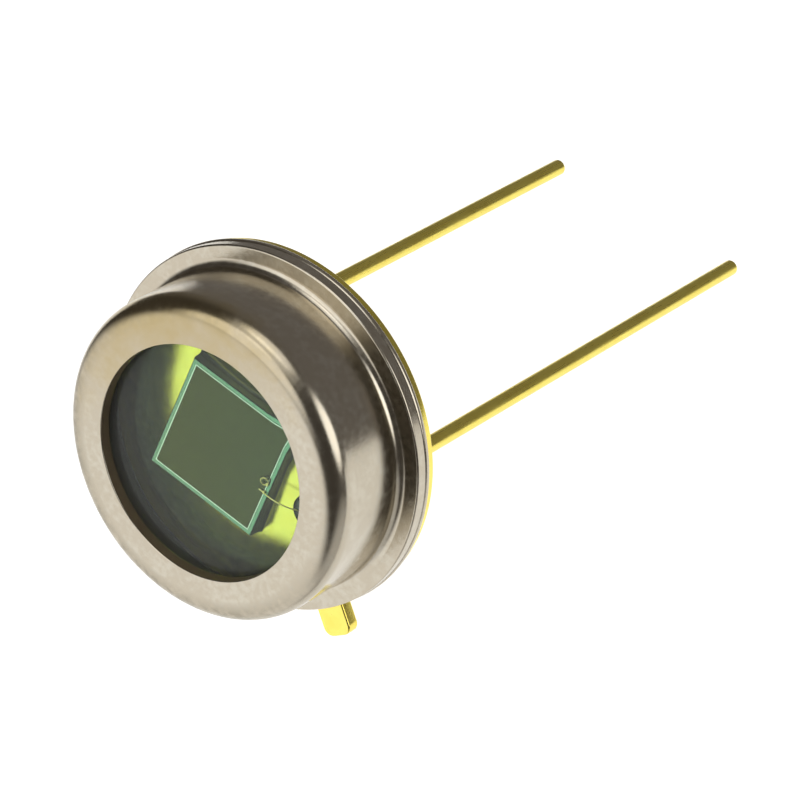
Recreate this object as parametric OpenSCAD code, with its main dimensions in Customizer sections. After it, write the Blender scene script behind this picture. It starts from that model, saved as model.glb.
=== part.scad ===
// Silicon photodiode in a low round metal can with a flat filter-glass window.
// +Z is the optical axis, out of the window. The origin is the centre of the seating plane,
// which is the underside of the header, and the two leads run along -Z.

/* [Cap] */
// Outer diameter of the cap's wall
cap_d = 8.16; // [7.8:0.02:8.5]
// Height of the cap's front face above the seating plane
can_h = 3.02; // [2.9:0.01:4.5]
// Thickness of the cap's sheet metal
cap_sheet = 0.3; // [0.2:0.01:0.4]
// Outer radius of the rounded front shoulder
shoulder_r = 0.5; // [0.45:0.01:0.6]
// Diameter of the round opening in the front
opening_d = 5.9; // [5:0.05:6.4]
// Radius of the bend between the wall and the flange
foot_r = 0.2; // [0.1:0.01:0.3]
// Rounding of the cap flange's front edge
rim_round = 0.05; // [0.02:0.01:0.18]
// How far the cap's flange stands out past the header's flange
rim_overhang = 0.03; // [0:0.01:0.12]

/* [Window] */
// Thickness of the glass pane at its clamped rim
window_t = 0.7; // [0.4:0.05:0.9]
// How far the pane swells into the opening
pane_rise = 0.02; // [0.01:0.01:0.15]
// Width of the pane's rounded edge inside the opening
pane_edge = 0.45; // [0.3:0.05:0.8]
// Radial width of the solder-glass ring round the pane
seal_w = 0.3; // [0.15:0.01:0.4]
// How far the solder glass creeps down the wall below the pane
seal_creep = 0.18; // [0.05:0.01:0.3]

/* [Header] */
// Diameter of the header's flange
flange_d = 9.18; // [9:0.02:9.4]
// Thickness of the header's flange
flange_t = 0.36; // [0.25:0.01:0.5]
// Rounding of the header's flange edges
flange_round = 0.05; // [0.02:0.01:0.1]
// Height of the raised platform above the seating plane
platform_h = 1.3; // [1:0.01:1.4]
// Radial gap between the platform and the cap's wall
platform_gap = 0.15; // [0.05:0.01:0.4]
// Rounding of the platform's top edge
platform_round = 0.12; // [0.05:0.01:0.2]
// Width of the locating tab
tab_w = 0.82; // [0.6:0.01:0.9]
// How far the tab stands out of the header's flange
tab_l = 0.84; // [0.6:0.01:1]
// Rounding of the tab's outer corners
tab_round = 0.24; // [0.05:0.01:0.28]
// Angle of the tab about the axis, from the cathode lead
tab_angle = 141; // [130:0.5:145]

/* [Leads] */
// Distance between the lead axes
lead_pitch = 5.08; // [5:0.01:5.2]
// Diameter of a lead
lead_d = 0.42; // [0.4:0.01:0.5]
// Length of the anode lead below the seating plane
anode_l = 17.16; // [8:0.02:20]
// Length of the cathode lead below the seating plane
cathode_l = 15.42; // [8:0.02:20]
// Rounding of a lead's cut end
tip_round = 0.06; // [0.02:0.01:0.1]
// Thickness of the leads' plating, which stops where a lead enters the header
plating_t = 0.005; // [0.002:0.001:0.02]
// Depth of the cathode lead's socket in the header
socket_depth = 0.25; // [0.1:0.01:0.3]
// Radial gap between the cathode lead and its socket
socket_gap = 0.02; // [0.01:0.005:0.05]
// Diameter of the anode lead's flat head
head_d = 0.62; // [0.55:0.01:0.8]
// Thickness of the anode lead's flat head
head_t = 0.1; // [0.06:0.01:0.11]
// Height of the anode lead's flat head above the platform
head_rise = 0.1; // [0.08:0.01:0.3]
// Diameter of the glass feed-through bead
bead_d = 1.1; // [0.9:0.05:1.3]
// How far the bead's ends lie below the header's faces
bead_recess = 0.04; // [0.02:0.01:0.1]

/* [Chip] */
// Side of the square chip
chip_w = 3.15; // [2.5:0.01:3.3]
// Thickness of the chip
chip_t = 0.2; // [0.15:0.01:0.25]
// Turn of the chip about the axis, from the lead line
chip_turn = 5.7; // [-6:0.1:6]
// Tilt of the chip, rising along the lead line towards the cathode lead
chip_tilt_x = 1.6; // [0:0.1:2]
// Tilt of the chip, rising across the lead line towards +Y
chip_tilt_y = 4.3; // [0:0.1:5]
// Place of the chip's middle along the lead line, towards the cathode lead
chip_x = 0.09; // [-0.1:0.01:0.1]
// Place of the chip's middle across the lead line
chip_y = 0.02; // [-0.1:0.01:0.1]
// Thickness of the solder under the chip's lowest corner
solder_t = 0.02; // [0.02:0.005:0.06]
// How far the solder spreads past the chip's edge
solder_spread = 0.04; // [0.02:0.01:0.1]
// Distance from the chip's edge to the contact frame
frame_margin = 0.11; // [0.05:0.01:0.3]
// Width of the contact frame's line
frame_line = 0.04; // [0.03:0.005:0.1]
// Thickness of the contact frame
frame_t = 0.01; // [0.005:0.005:0.02]

/* [Bond wire] */
// Diameter of the bond wire
wire_d = 0.035; // [0.025:0.005:0.05]
// Rise of the wire's arch above a straight line between its bonds
wire_rise = 0.12; // [0.05:0.01:0.2]
// Place of the wire's bond along the chip's side, from its middle
bond_y = 0.29; // [-1:0.01:1]
// Distance between the wire's bond and the curl beside it
curl_pitch = 0.23; // [0.15:0.01:0.5]
// Radius of the curl, to the wire's middle
curl_r = 0.1; // [0.06:0.005:0.12]
// Direction from the curl's foot to its middle, from the chip's own side
curl_heading = -37; // [-60:1:60]
// How far the curl's free side is lifted off the chip
curl_lift = 15; // [0:1:60]
// Diameter of a bond foot
bond_d = 0.09; // [0.07:0.005:0.12]
// How much thicker a bond foot is than the wire
bond_extra = 0.005; // [0.002:0.001:0.02]
// Length of the wire's tail past its bond on the chip
tail_l = 0.14; // [0.08:0.01:0.3]

/* [Hidden] */
$fn = 96;
cap_r = cap_d / 2;
cap_inner_r = cap_r - cap_sheet;
opening_r = opening_d / 2;
inner_shoulder_r = shoulder_r - cap_sheet;
cap_flange_r = flange_d / 2 + rim_overhang;
cap_flange_top = flange_t + cap_sheet;
pane_front = can_h - cap_sheet;
pane_back = pane_front - window_t;
window_r = cap_inner_r - seal_w;
pane_edge_r = (pow(pane_edge, 2) + pow(pane_rise, 2)) / (2 * pane_rise);
platform_r = cap_inner_r - platform_gap;
lead_r = lead_d / 2;
lead_x = lead_pitch / 2;
bare_lead_r = lead_r - plating_t;
head_top = platform_h + head_rise;
// Height of the middle of the chip's underside, and of the contact frame's face over that underside
chip_drop = chip_w / 2 * (sin(chip_tilt_x) + sin(chip_tilt_y) * cos(chip_tilt_x));
chip_bottom = platform_h + solder_t + chip_drop;
frame_face = chip_t + frame_t;
frame_w = chip_w - 2 * frame_margin;
head_round = head_t / 3;
wire_r = wire_d / 2;
bond_t = wire_d + bond_extra;

// The wire's two bonds: on the contact frame, and on the anode lead's head towards the first,
// one foot's diameter in from the head's edge
frame_x = -(frame_w - frame_line) / 2;
wire_start = on_chip([frame_x, bond_y, frame_face + bond_t / 2]);
pin_to_bond = [wire_start.x + lead_x, wire_start.y];
head_bond = head_d / 2 - head_round - bond_d;
head_point = [-lead_x, 0] + pin_to_bond * head_bond / norm(pin_to_bond);
wire_end = [head_point.x, head_point.y, head_top + bond_t / 2];
wire_span = wire_end - wire_start;
wire_chord = norm(wire_span);
wire_heading = atan2(wire_span.y, wire_span.x);
wire_slope = asin(wire_span.z / wire_chord);
wire_arch_r = (pow(wire_chord / 2, 2) + pow(wire_rise, 2)) / (2 * wire_rise);
wire_sweep = 2 * asin(wire_chord / 2 / wire_arch_r);

// Where a point of the chip lies, given in the chip's own frame from the middle of its underside
function on_chip(p) =
  let (
    y = p.y * cos(chip_tilt_y) - p.z * sin(chip_tilt_y),
    z = p.y * sin(chip_tilt_y) + p.z * cos(chip_tilt_y),
    x = p.x * cos(chip_tilt_x) - z * sin(chip_tilt_x),
    rise = p.x * sin(chip_tilt_x) + z * cos(chip_tilt_x)
  ) [
    chip_x + x * cos(chip_turn) - y * sin(chip_turn),
    chip_y + x * sin(chip_turn) + y * cos(chip_turn),
    chip_bottom + rise
  ];

// Section of a disc from the axis to radius r, with its outer corners rounded
module disc_section(r, low, high, low_round = 0, high_round = 0) {
  translate([0, low + low_round]) square([r, high - low - low_round - high_round]);
  translate([0, low]) square([r - low_round, high - low - high_round]);
  translate([0, low + low_round]) square([r - high_round, high - low - low_round]);
  if (low_round > 0)
    translate([r - low_round, low + low_round]) round_quarter(low_round, -90);
  if (high_round > 0)
    translate([r - high_round, high - high_round]) round_quarter(high_round, 0);
}

// Quarter of a round, from the angle start to start + 90
module round_quarter(r, start) {
  intersection() {
    circle(r);
    rotate(start) square(r);
  }
}

// Concave corner fill between a vertical wall on the left and a floor below
module corner_fill(r) {
  difference() {
    square(r);
    translate([r, r]) circle(r);
  }
}

// Outer form of the cap, filled to the axis
module cap_outside() {
  disc_section(cap_r, flange_t, can_h, high_round = shoulder_r);
  disc_section(cap_flange_r, flange_t, cap_flange_top, flange_round, rim_round);
  translate([cap_r, cap_flange_top]) corner_fill(foot_r);
}

// Hollow of the cap, which flares out at its foot where the sheet bends
module cap_inside() {
  disc_section(cap_inner_r, flange_t, pane_front, high_round = inner_shoulder_r);
  translate([cap_inner_r, flange_t]) corner_fill(foot_r + cap_sheet);
}

module cap() {
  color("#cdc5b4") rotate_extrude() difference() {
    cap_outside();
    cap_inside();
    square([opening_r, can_h + cap_sheet]);
  }
}

// Pane clamped behind the front, with a swelling in the opening that falls away at its edge
module window() {
  swell_top = pane_front + pane_rise;
  color("#3f5a3c", 0.6) rotate_extrude() {
    translate([0, pane_back]) square([window_r, window_t]);
    intersection() {
      translate([0, pane_front]) square([opening_r, pane_rise]);
      union() {
        translate([0, pane_front]) square([opening_r - pane_edge, pane_rise]);
        translate([opening_r - pane_edge, swell_top - pane_edge_r]) circle(pane_edge_r);
      }
    }
  }
}

// Solder glass between the pane's edge and the cap, with a hollow fillet below
module window_seal() {
  color("#2e2620") rotate_extrude() {
    difference() {
      disc_section(cap_inner_r, pane_back, pane_front, high_round = inner_shoulder_r);
      square([window_r, can_h]);
    }
    translate([cap_inner_r, pane_back]) rotate(180) corner_fill(seal_creep);
  }
}

// Solid base with a flange, a raised platform and a locating tab
module header() {
  color("#d8b44a") difference() {
    union() {
      rotate_extrude() {
        disc_section(flange_d / 2, 0, flange_t, flange_round, flange_round);
        disc_section(platform_r, 0, platform_h, high_round = platform_round);
      }
      rotate(tab_angle) linear_extrude(flange_t) tab_outline();
    }
    translate([-lead_x, 0, -flange_t]) cylinder(d = bead_d, h = platform_h + 2 * flange_t);
    translate([lead_x, 0, -flange_t]) cylinder(r = lead_r + socket_gap, h = flange_t + socket_depth);
  }
}

// Tab along +X from inside the flange, with its outer corners rounded
module tab_outline() {
  root = flange_d / 2 - tab_w;
  reach = flange_d / 2 + tab_l;
  translate([root, -tab_w / 2]) square([reach - tab_round - root, tab_w]);
  translate([root, tab_round - tab_w / 2]) square([reach - root, tab_w - 2 * tab_round]);
  for (side = [-1, 1])
    translate([reach - tab_round, side * (tab_w / 2 - tab_round)]) circle(tab_round);
}

module glass_bead() {
  color("#23303a") translate([-lead_x, 0, bead_recess]) difference() {
    cylinder(d = bead_d, h = platform_h - 2 * bead_recess);
    translate([0, 0, -bead_recess]) cylinder(r = bare_lead_r, h = platform_h);
  }
}

// Straight lead through the bead, bare inside the can, with a flat head above the platform
module anode_lead() {
  color("#d8b44a") translate([-lead_x, 0, 0]) rotate_extrude() {
    disc_section(lead_r, -anode_l, bead_recess, low_round = tip_round);
    disc_section(bare_lead_r, 0, head_top - head_t / 2);
    disc_section(head_d / 2, head_top - head_t, head_top, head_round, head_round);
  }
}

// Straight lead with its bare upper end on the floor of the header's socket
module cathode_lead() {
  color("#d8b44a") translate([lead_x, 0, 0]) rotate_extrude() {
    disc_section(lead_r, -cathode_l, 0, low_round = tip_round);
    disc_section(bare_lead_r, -lead_d, socket_depth);
  }
}

// Moves what is drawn in the chip's own frame to where the chip lies
module lay_on_chip() {
  translate([chip_x, chip_y, chip_bottom]) rotate([chip_tilt_y, -chip_tilt_x, chip_turn]) children();
}

// Wedge of solder from the platform up to the chip's tilted underside
module die_attach() {
  side = chip_w + 2 * solder_spread;
  color("#9a958c") difference() {
    translate([chip_x, chip_y, platform_h]) rotate(chip_turn) linear_extrude(chip_w) square(side, center = true);
    lay_on_chip() translate([-side, -side, 0]) cube(2 * side);
  }
}

module chip() {
  color("#4f6a55") lay_on_chip() linear_extrude(chip_t) square(chip_w, center = true);
}

module contact_frame() {
  color("#d5efe6") lay_on_chip() translate([0, 0, chip_t]) linear_extrude(frame_t) difference() {
    square(frame_w, center = true);
    square(frame_w - 2 * frame_line, center = true);
  }
}

// Foot of a bond, pressed flat
module bond_foot() {
  cylinder(d = bond_d, h = bond_t);
}

// Arch of the wire from its start to its end, in the upright plane through both
module wire_arch() {
  translate(wire_start) rotate([0, -wire_slope, wire_heading])
    translate([wire_chord / 2, 0, wire_rise - wire_arch_r]) rotate([90, 0, 0])
      rotate(90 - wire_sweep / 2) rotate_extrude(angle = wire_sweep)
        translate([wire_arch_r, 0]) circle(wire_r);
}

// Straight tail of the wire, lying over the chip behind the bond
module wire_tail() {
  translate(wire_start) rotate([0, -90, wire_heading]) cylinder(r = wire_r, h = tail_l);
}

// Curl of wire left lying over the chip from a second foot beside the bond
module wire_curl() {
  lay_on_chip() translate([frame_x, bond_y - curl_pitch, frame_face]) {
    bond_foot();
    translate([0, 0, bond_t / 2]) rotate([0, -curl_lift, curl_heading]) translate([curl_r, 0, 0])
      rotate_extrude() translate([curl_r, 0]) circle(wire_r);
  }
}

module bond_wire() {
  color("#e8d27a") {
    lay_on_chip() translate([frame_x, bond_y, frame_face]) bond_foot();
    translate([head_point.x, head_point.y, head_top]) bond_foot();
    wire_arch();
    wire_tail();
    wire_curl();
  }
}

cap();
window();
window_seal();
header();
glass_bead();
anode_lead();
cathode_lead();
die_attach();
chip();
contact_frame();
bond_wire();
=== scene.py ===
"""Looks of a silicon photodiode in a low round metal can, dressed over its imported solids.

The frame is that of the solids: +Z is the optical axis, out of the window, and the leads run
along -Z. Sizes in the classes are in millimetres, and a finished mesh is scaled to metres.
"""

import logging
import math
from dataclasses import dataclass
from enum import Enum

import bmesh
import bpy
from mathutils import Euler, Matrix, Vector


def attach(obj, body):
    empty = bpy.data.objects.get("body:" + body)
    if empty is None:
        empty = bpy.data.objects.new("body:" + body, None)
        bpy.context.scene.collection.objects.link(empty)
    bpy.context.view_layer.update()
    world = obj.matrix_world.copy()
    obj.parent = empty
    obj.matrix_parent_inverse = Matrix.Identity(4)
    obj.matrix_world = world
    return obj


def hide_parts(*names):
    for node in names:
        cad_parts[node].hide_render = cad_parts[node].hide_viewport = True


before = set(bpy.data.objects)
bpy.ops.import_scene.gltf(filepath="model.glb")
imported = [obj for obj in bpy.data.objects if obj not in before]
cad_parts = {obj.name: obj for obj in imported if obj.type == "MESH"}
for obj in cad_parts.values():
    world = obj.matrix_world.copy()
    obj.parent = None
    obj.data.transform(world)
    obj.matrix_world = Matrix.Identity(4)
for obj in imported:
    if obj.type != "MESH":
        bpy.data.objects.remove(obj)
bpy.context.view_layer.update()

log = logging.getLogger("photodiode")

MM = 0.001
BODY = "root"
Point = tuple[float, float]
Span = tuple[float, float]
Triple = tuple[float, float, float]
# Most of a noise texture's values lie between these two.
NOISE_LOW, NOISE_HIGH = 0.3, 0.7
# Distance of the extra points that keep a flat face flat beside a bend.
SUPPORT = 0.012
# Heights nearer than the first, and radii nearer than the second, count as the same.
SAME_HEIGHT, SAME_RADIUS = 1e-4, 1e-3
# Points nearer than this become one.
MERGE = 1e-5


def linear(code: str) -> tuple[float, float, float, float]:
    """Turns an sRGB hex colour to linear light.

    Args:
        code: six hex digits after a hash sign.
    Returns:
        Linear red, green and blue, and an alpha of 1.
    """
    parts = [int(code[i:i + 2], 16) / 255 for i in (1, 3, 5)]
    light = [c / 12.92 if c <= 0.04045 else ((c + 0.055) / 1.055) ** 2.4 for c in parts]
    return (*light, 1.0)


def add_node(tree: bpy.types.NodeTree, kind: str, inputs: dict | None = None,
             **settings) -> bpy.types.Node:
    """Adds one node with its settings, input values and links.

    Args:
        tree: the node tree that takes it.
        kind: the node's type name.
        inputs: socket name or index to a value, or to the output socket that feeds it.
        settings: the node's own properties.
    Returns:
        The new node.
    """
    node = tree.nodes.new(kind)
    for key, value in settings.items():
        setattr(node, key, value)
    for key, value in (inputs or {}).items():
        if isinstance(value, bpy.types.NodeSocket):
            tree.links.new(value, node.inputs[key])
        else:
            node.inputs[key].default_value = value
    return node


def new_material(name: str) -> tuple[bpy.types.Material, bpy.types.NodeTree, bpy.types.Node,
                                     bpy.types.NodeSocket]:
    """Starts a material.

    Args:
        name: the finish's name.
    Returns:
        The material, its tree, its Principled shader, and Object coordinates in millimetres.
    """
    material = bpy.data.materials.new(name)
    material.use_nodes = True
    tree = material.node_tree
    tree.nodes.clear()
    shader = add_node(tree, "ShaderNodeBsdfPrincipled")
    add_node(tree, "ShaderNodeOutputMaterial", {"Surface": shader.outputs[0]})
    place = add_node(tree, "ShaderNodeTexCoord")
    in_mm = add_node(tree, "ShaderNodeVectorMath", {0: place.outputs["Object"], "Scale": 1 / MM},
                     operation="SCALE")
    return material, tree, shader, in_mm.outputs[0]


def lay_skin(tree: bpy.types.NodeTree, shader: bpy.types.Node, tone: bpy.types.NodeSocket,
             colours: tuple[str, str], grain: bpy.types.NodeSocket, rough: Span) -> None:
    """Lays two colours and a span of roughness over a surface, each by its own pattern.

    Args:
        tree: the material's tree.
        shader: its Principled shader.
        tone: 0 where the first colour shows, 1 where the second does.
        colours: the two colours in sRGB hex.
        grain: the noise that spreads the roughness.
        rough: roughness where that noise is low, and where it is high.
    """
    tint = add_node(tree, "ShaderNodeMix", {0: tone, 6: linear(colours[0]), 7: linear(colours[1])},
                    data_type="RGBA")
    spread = add_node(tree, "ShaderNodeMapRange",
                      {0: grain, 1: NOISE_LOW, 2: NOISE_HIGH, 3: rough[0], 4: rough[1]})
    tree.links.new(tint.outputs[2], shader.inputs["Base Color"])
    tree.links.new(spread.outputs[0], shader.inputs["Roughness"])


class Zone(Enum):
    """Which finish a face of the cap, the header or the chip takes."""

    MAIN = 0
    INSIDE = 1
    BORDER = 2


@dataclass(frozen=True)
class NickelPlate:
    """Dull nickel on drawn sheet, tumbled: a warm grey satin mirror, fine grained.

    It has gone yellowish on one side. Along the shoulder it is painted darker: spots of dirt, with painted
    shade that is strongest on one side.
    """

    colour: str = "#C6BFAF"
    stain: str = "#BDB4A2"
    tarnish: str = "#B3A279"
    grime_and_shade: str = "#8C836F"
    rough: Span = (0.17, 0.25)
    cloud_mm: float = 0.55
    mottle_mm: float = 0.16
    stain_span: Span = (0.2, 0.38)
    # The plating's own grain is far finer, and is drawn this coarse so that it shows.
    grain_mm: float = 0.045
    grain_depth: float = 0.0009
    wave_mm: float = 1.1
    wave_depth: float = 0.006
    # Which way the tarnish grows, how far the clouds move its edge, and how far it takes to be full.
    tarnish_way: Triple = (0.69, -0.73, 3.0)
    tarnish_sway: float = 3.0
    tarnish_span: Span = (11.2, 14.9)
    # Between which radii and heights the dirt and painted shade set in, which way the painted shade grows
    # darker, and in what spots.
    grime_and_shade_radii: Span = (3.45, 3.8)
    grime_and_shade_heights: Span = (2.45, 2.75)
    painted_shade_way: Triple = (0.25, 0.97, 0.0)
    painted_shade_way_span: Span = (-1.5, 3.2)
    grime_and_shade_spots: Span = (0.1, 0.34)

    def material(self) -> bpy.types.Material:
        """Builds the material.

        Returns:
            The finished material.
        """
        material, tree, shader, mm = new_material("nickel_plate_satin")
        cloud, mottle, grain, wave = (
            add_node(tree, "ShaderNodeTexNoise", {"Vector": mm, "Scale": 1 / size, "Detail": detail})
            for size, detail in ((self.cloud_mm, 3.0), (self.mottle_mm, 4.0), (self.grain_mm, 2.0),
                                 (self.wave_mm, 1.0)))
        both = add_node(tree, "ShaderNodeMath", {0: cloud.outputs[0], 1: mottle.outputs[0]},
                        operation="MULTIPLY").outputs[0]
        clean = add_node(tree, "ShaderNodeMapRange",
                         {0: both, 1: self.stain_span[0], 2: self.stain_span[1], 3: 0.0, 4: 1.0})
        side = add_node(tree, "ShaderNodeVectorMath", {0: mm, 1: self.tarnish_way},
                        operation="DOT_PRODUCT")
        reach = add_node(tree, "ShaderNodeMath",
                         {0: cloud.outputs[0], 1: self.tarnish_sway, 2: side.outputs["Value"]},
                         operation="MULTIPLY_ADD")
        aged = add_node(tree, "ShaderNodeMapRange",
                        {0: reach.outputs[0], 1: self.tarnish_span[0], 2: self.tarnish_span[1],
                         3: 0.0, 4: 1.0}, interpolation_type="SMOOTHSTEP")
        tint = linear(self.stain)
        # The last colour laid is dirt with painted shade along the shoulder.
        for share, colour in ((clean.outputs[0], self.colour), (aged.outputs[0], self.tarnish),
                              (self.grime_and_shade_share(tree, mm, both), self.grime_and_shade)):
            tint = add_node(tree, "ShaderNodeMix", {0: share, 6: tint, 7: linear(colour)},
                            data_type="RGBA").outputs[2]
        tree.links.new(tint, shader.inputs["Base Color"])
        rough = add_node(tree, "ShaderNodeMapRange",
                         {0: mottle.outputs[0], 1: NOISE_LOW, 2: NOISE_HIGH, 3: self.rough[0],
                          4: self.rough[1]})
        tree.links.new(rough.outputs[0], shader.inputs["Roughness"])
        shader.inputs["Metallic"].default_value = 1.0
        fine = add_node(tree, "ShaderNodeBump", {"Strength": 1.0, "Distance": self.grain_depth * MM,
                                                 "Height": grain.outputs[0]})
        slow = add_node(tree, "ShaderNodeBump", {"Strength": 1.0, "Distance": self.wave_depth * MM,
                                                 "Height": wave.outputs[0], "Normal": fine.outputs[0]})
        tree.links.new(slow.outputs[0], shader.inputs["Normal"])
        return material

    def grime_and_shade_share(self, tree: bpy.types.NodeTree, mm: bpy.types.NodeSocket,
                    spots: bpy.types.NodeSocket) -> bpy.types.NodeSocket:
        """Works out how much dirt and painted shade darken each spot.

        Args:
            tree: the material's tree.
            mm: Object coordinates in millimetres.
            spots: the noise that breaks the dirt and painted shade up.
        Returns:
            The share of dirt and painted shade, from 0 to 1.
        """
        plan = add_node(tree, "ShaderNodeVectorMath", {0: mm, 1: (1.0, 1.0, 0.0)}, operation="MULTIPLY")
        out = add_node(tree, "ShaderNodeVectorMath", {0: plan.outputs[0]}, operation="LENGTH")
        axes = add_node(tree, "ShaderNodeSeparateXYZ", {0: mm})
        # Painted shade: the shoulder is made darker towards one side, standing in for a dimmer reflection
        # there.
        lean = add_node(tree, "ShaderNodeVectorMath", {0: mm, 1: self.painted_shade_way}, operation="DOT_PRODUCT")
        share = 1.0
        for value, span, least, most in ((out.outputs["Value"], self.grime_and_shade_radii, 0.0, 0.95),
                                         (axes.outputs["Z"], self.grime_and_shade_heights, 0.0, 1.0),
                                         (lean.outputs["Value"], self.painted_shade_way_span, 0.25, 1.0),
                                         (spots, self.grime_and_shade_spots, 0.2, 1.0)):
            mask = add_node(tree, "ShaderNodeMapRange",
                            {0: value, 1: span[0], 2: span[1], 3: least, 4: most})
            share = add_node(tree, "ShaderNodeMath", {0: share, 1: mask.outputs[0]},
                             operation="MULTIPLY").outputs[0]
        return share


@dataclass(frozen=True)
class OxideAndShadeSkin:
    """Metal oxidised while glass was sealed to it: a dark grey-brown skin with a dull sheen. It is also
    laid as painted shade on gold that lies in a narrow gap.
    """

    name: str
    colour: str = "#5E5040"
    light: str = "#786753"
    rough: Span = (0.5, 0.65)
    patch_mm: float = 0.4

    def material(self) -> bpy.types.Material:
        """Builds the material.

        Returns:
            The finished material.
        """
        material, tree, shader, mm = new_material(self.name)
        patch = add_node(tree, "ShaderNodeTexNoise",
                         {"Vector": mm, "Scale": 1 / self.patch_mm, "Detail": 4.0}).outputs[0]
        lay_skin(tree, shader, patch, (self.colour, self.light), patch, self.rough)
        shader.inputs["Metallic"].default_value = 0.3
        return material


@dataclass(frozen=True)
class GoldPlate:
    """Thin bright gold on a matt base metal: lemon yellow, slightly grainy."""

    name: str
    colour: str = "#F9E774"
    deep: str = "#F4DF6A"
    rough: float = 0.22
    patch_mm: float = 0.4
    patch_span: Span = (0.3, 0.62)
    # The plating's own grain is far finer, and is drawn this coarse so that it shows.
    grain_mm: float = 0.05
    grain_depth: float = 0.0015
    draw_ratio: float = 1.0

    def material(self) -> bpy.types.Material:
        """Builds the material.

        Returns:
            The finished material.
        """
        material, tree, shader, mm = new_material(self.name)
        drawn = add_node(tree, "ShaderNodeMapping", {"Vector": mm, "Scale": (1.0, 1.0, self.draw_ratio)})
        grain = add_node(tree, "ShaderNodeTexNoise",
                         {"Vector": drawn.outputs[0], "Scale": 1 / self.grain_mm, "Detail": 3.0}).outputs[0]
        patch = add_node(tree, "ShaderNodeTexNoise",
                         {"Vector": mm, "Scale": 1 / self.patch_mm, "Detail": 3.0})
        tone = add_node(tree, "ShaderNodeMapRange",
                        {0: patch.outputs[0], 1: self.patch_span[0], 2: self.patch_span[1], 3: 0.0, 4: 1.0})
        lay_skin(tree, shader, tone.outputs[0], (self.deep, self.colour), grain,
                 (self.rough * 1.25, self.rough * 0.8))
        shader.inputs["Metallic"].default_value = 1.0
        bump = add_node(tree, "ShaderNodeBump",
                        {"Strength": 1.0, "Distance": self.grain_depth * MM, "Height": grain})
        tree.links.new(bump.outputs[0], shader.inputs["Normal"])
        return material


@dataclass(frozen=True)
class FilterGlass:
    """Flat yellow-green filter glass with a coat against reflections: clear, with a faint film of dust."""

    body: tuple[float, float, float, float] = (0.82, 1.0, 0.79, 1.0)
    density_per_m: float = 1000.0
    ior: float = 1.52
    coat: str = "#5C625A"
    dust: float = 0.042
    haze_mm: float = 1 / 3

    def material(self) -> bpy.types.Material:
        """Builds the material.

        Returns:
            The finished material.
        """
        material, tree, shader, mm = new_material("filter_glass_green")
        shader.inputs["Base Color"].default_value = (1.0, 1.0, 1.0, 1.0)
        shader.inputs["Roughness"].default_value = 0.0
        shader.inputs["IOR"].default_value = self.ior
        shader.inputs["Specular Tint"].default_value = linear(self.coat)
        haze = add_node(tree, "ShaderNodeTexNoise",
                        {"Vector": mm, "Scale": 1 / self.haze_mm, "Detail": 2.0})
        clear = add_node(tree, "ShaderNodeMapRange",
                         {0: haze.outputs[0], 1: NOISE_LOW, 2: NOISE_HIGH, 3: 1.0 - 0.9 * self.dust,
                          4: 1.0 - 1.1 * self.dust})
        tree.links.new(clear.outputs[0], shader.inputs["Transmission Weight"])
        body = add_node(tree, "ShaderNodeVolumeAbsorption",
                        {"Color": self.body, "Density": self.density_per_m})
        out = next(n for n in tree.nodes if n.type == "OUTPUT_MATERIAL")
        tree.links.new(body.outputs[0], out.inputs["Volume"])
        return material


@dataclass(frozen=True)
class SolderGlass:
    """Fired solder glass: an opaque dark glaze with small clouds."""

    name: str
    colour: str
    cloud: str
    cloud_mm: float
    rough: Span = (0.12, 0.3)
    ior: float = 1.6

    def material(self) -> bpy.types.Material:
        """Builds the material.

        Returns:
            The finished material.
        """
        material, tree, shader, mm = new_material(self.name)
        cloud = add_node(tree, "ShaderNodeTexNoise",
                         {"Vector": mm, "Scale": 1 / self.cloud_mm, "Detail": 3.0}).outputs[0]
        lay_skin(tree, shader, cloud, (self.colour, self.cloud), cloud, self.rough)
        shader.inputs["IOR"].default_value = self.ior
        return material


@dataclass(frozen=True)
class Solder:
    """Die solder: dark grey metal that wetted out and froze with a dull, slightly grainy skin."""

    colour: str = "#5F5B53"
    dark: str = "#45423C"
    rough: Span = (0.3, 0.45)
    grain_mm: float = 0.125

    def material(self) -> bpy.types.Material:
        """Builds the material.

        Returns:
            The finished material.
        """
        material, tree, shader, mm = new_material("die_solder_grey")
        grain = add_node(tree, "ShaderNodeTexNoise",
                         {"Vector": mm, "Scale": 1 / self.grain_mm, "Detail": 4.0}).outputs[0]
        lay_skin(tree, shader, grain, (self.dark, self.colour), grain, self.rough)
        shader.inputs["Metallic"].default_value = 1.0
        return material


@dataclass(frozen=True)
class CoatedSilicon:
    """Polished silicon under a thin clear coat: a dark mirror whose tint drifts with the coat's depth."""

    name: str
    colour: str
    other: str
    rough: float
    patch_mm: float = 1.2
    # Which way the tint drifts over the chip, and how far it takes to reach the other colour.
    drift_way: Triple = (-1.0, -0.94, 0.0)
    drift_span: Span = (-1.4, 2.6)

    def material(self) -> bpy.types.Material:
        """Builds the material.

        Returns:
            The finished material.
        """
        material, tree, shader, mm = new_material(self.name)
        patch = add_node(tree, "ShaderNodeTexNoise",
                         {"Vector": mm, "Scale": 1 / self.patch_mm, "Detail": 1.5}).outputs[0]
        along = add_node(tree, "ShaderNodeVectorMath", {0: mm, 1: self.drift_way}, operation="DOT_PRODUCT")
        sway = add_node(tree, "ShaderNodeMath", {0: patch, 1: self.patch_mm, 2: along.outputs["Value"]},
                        operation="MULTIPLY_ADD")
        tone = add_node(tree, "ShaderNodeMapRange",
                        {0: sway.outputs[0], 1: self.drift_span[0], 2: self.drift_span[1], 3: 0.0, 4: 1.0})
        lay_skin(tree, shader, tone.outputs[0], (self.colour, self.other), patch,
                 (self.rough, self.rough * 1.3))
        shader.inputs["Metallic"].default_value = 1.0
        return material


NICKEL = NickelPlate()
CAP_INSIDE = OxideAndShadeSkin("oxidised_cap_inside")
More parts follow.
